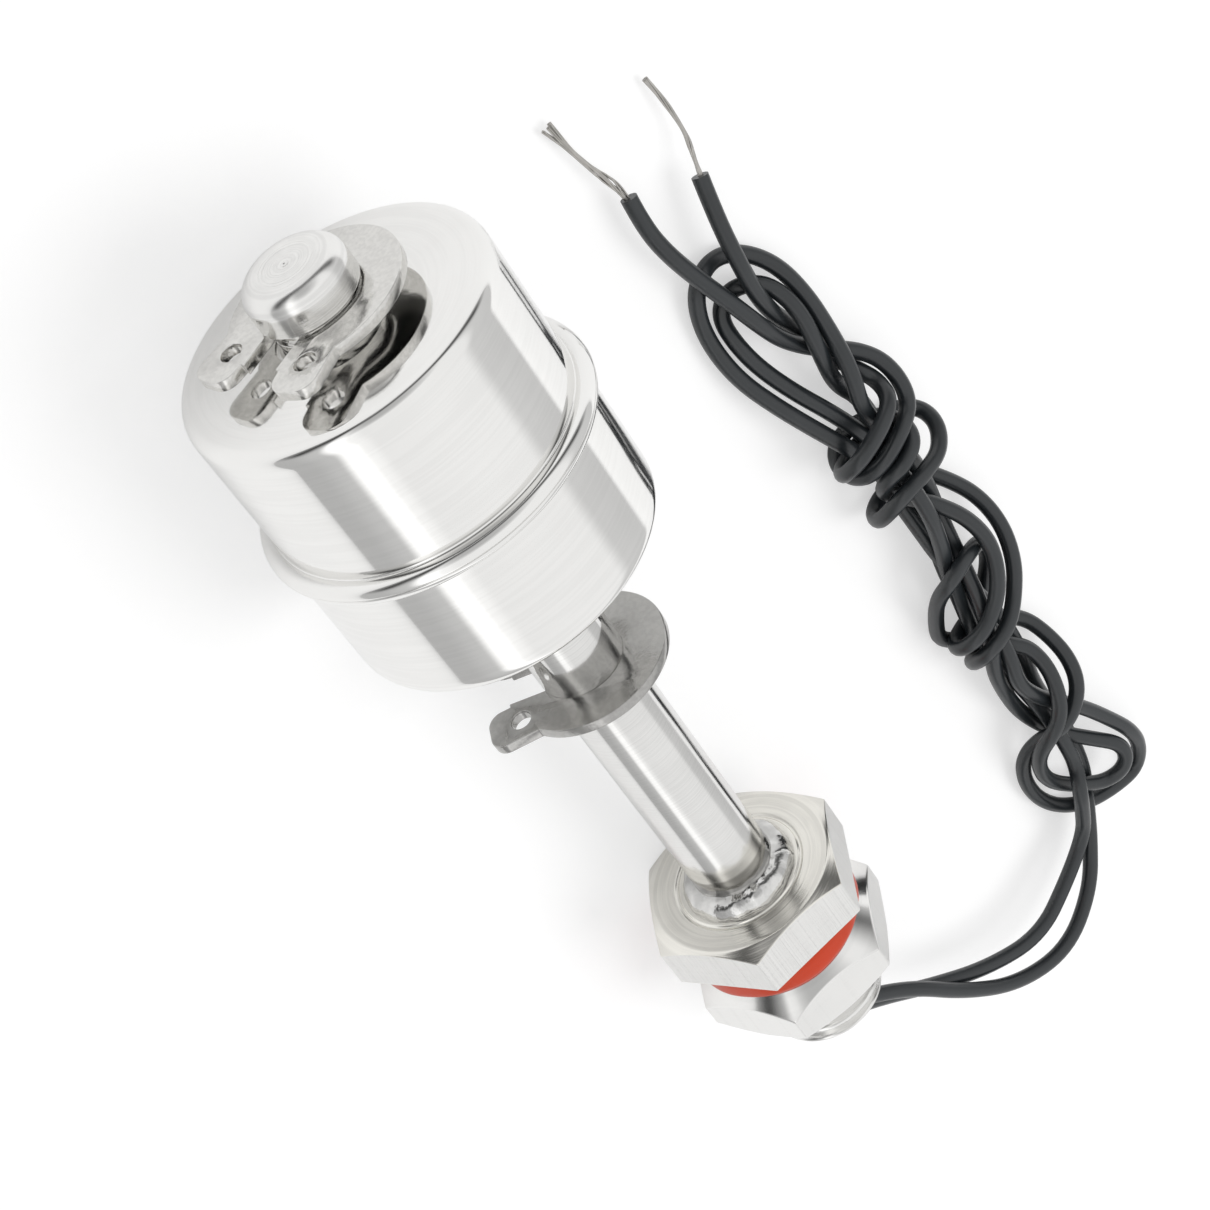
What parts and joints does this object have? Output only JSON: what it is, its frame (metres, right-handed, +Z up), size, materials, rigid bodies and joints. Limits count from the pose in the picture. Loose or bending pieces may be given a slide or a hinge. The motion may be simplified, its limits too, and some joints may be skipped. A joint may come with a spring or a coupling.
{
  "type": "float level switch",
  "caption": "Stainless float level switch: a cylindrical float slides on a stem between two retaining rings, with a hexagon flange, gasket, thread, lock nut and two leads.",
  "frame": {"origin": "centre of the footprint on the table, leads left out, with the switch lying on its side", "axes": "+X towards the closed tip, +Z up, the leads' hank lies on the -Y side"},
  "size_m": [0.1225, 0.0583, 0.0303],
  "materials": {
    "polished_steel": "polished",
    "turned_steel": "satin",
    "mirror_steel": "mirror",
    "spring_steel": "satin",
    "silicone": "matte",
    "ferrite": "matte",
    "collar_plastic": "matte",
    "glass": "clear",
    "contact_metal": "satin",
    "tinned_copper": "satin",
    "sleeving": "matte",
    "solder": "satin",
    "resin": "satin",
    "lead_insulation": "matte"
  },
  "bodies": {
    "stem": {"stem_tube": "polished_steel", "end_cap": "turned_steel", "hex_fitting": "turned_steel", "weld_bead": "turned_steel", "upper_ring": "spring_steel", "lower_ring": "spring_steel", "gasket": "silicone", "reed_glass": "glass", "reed_blade_lower": "contact_metal", "reed_blade_upper": "contact_metal", "reed_holder": "collar_plastic", "inner_conductor_a": "tinned_copper", "inner_conductor_b": "tinned_copper", "return_sleeve": "sleeving", "solder_lower": "solder", "solder_upper": "solder", "potting_plug": "resin", "lead_a": "lead_insulation", "lead_b": "lead_insulation", "lead_hank": "lead_insulation", "tail_a": "lead_insulation", "tail_b": "lead_insulation", "bare_end_a": "tinned_copper", "bare_end_b": "tinned_copper"},
    "float": {"float_shell_upper": "mirror_steel", "float_shell_lower": "mirror_steel", "float_sleeve": "polished_steel", "ring_magnet": "ferrite", "magnet_collar_upper": "collar_plastic", "magnet_collar_lower": "collar_plastic"},
    "nut": {"lock_nut": "turned_steel"}
  },
  "joints": [
    {"name": "float_slide", "type": "slide", "parent": "stem", "child": "float", "axis": [0.9966, 0, 0.0824], "range_m": [-0.0131, 0.0014]},
    {"name": "nut_travel", "type": "slide", "parent": "stem", "child": "nut", "axis": [0.9966, 0, 0.0824], "range_m": [-0.0065, 0]}
  ]
}
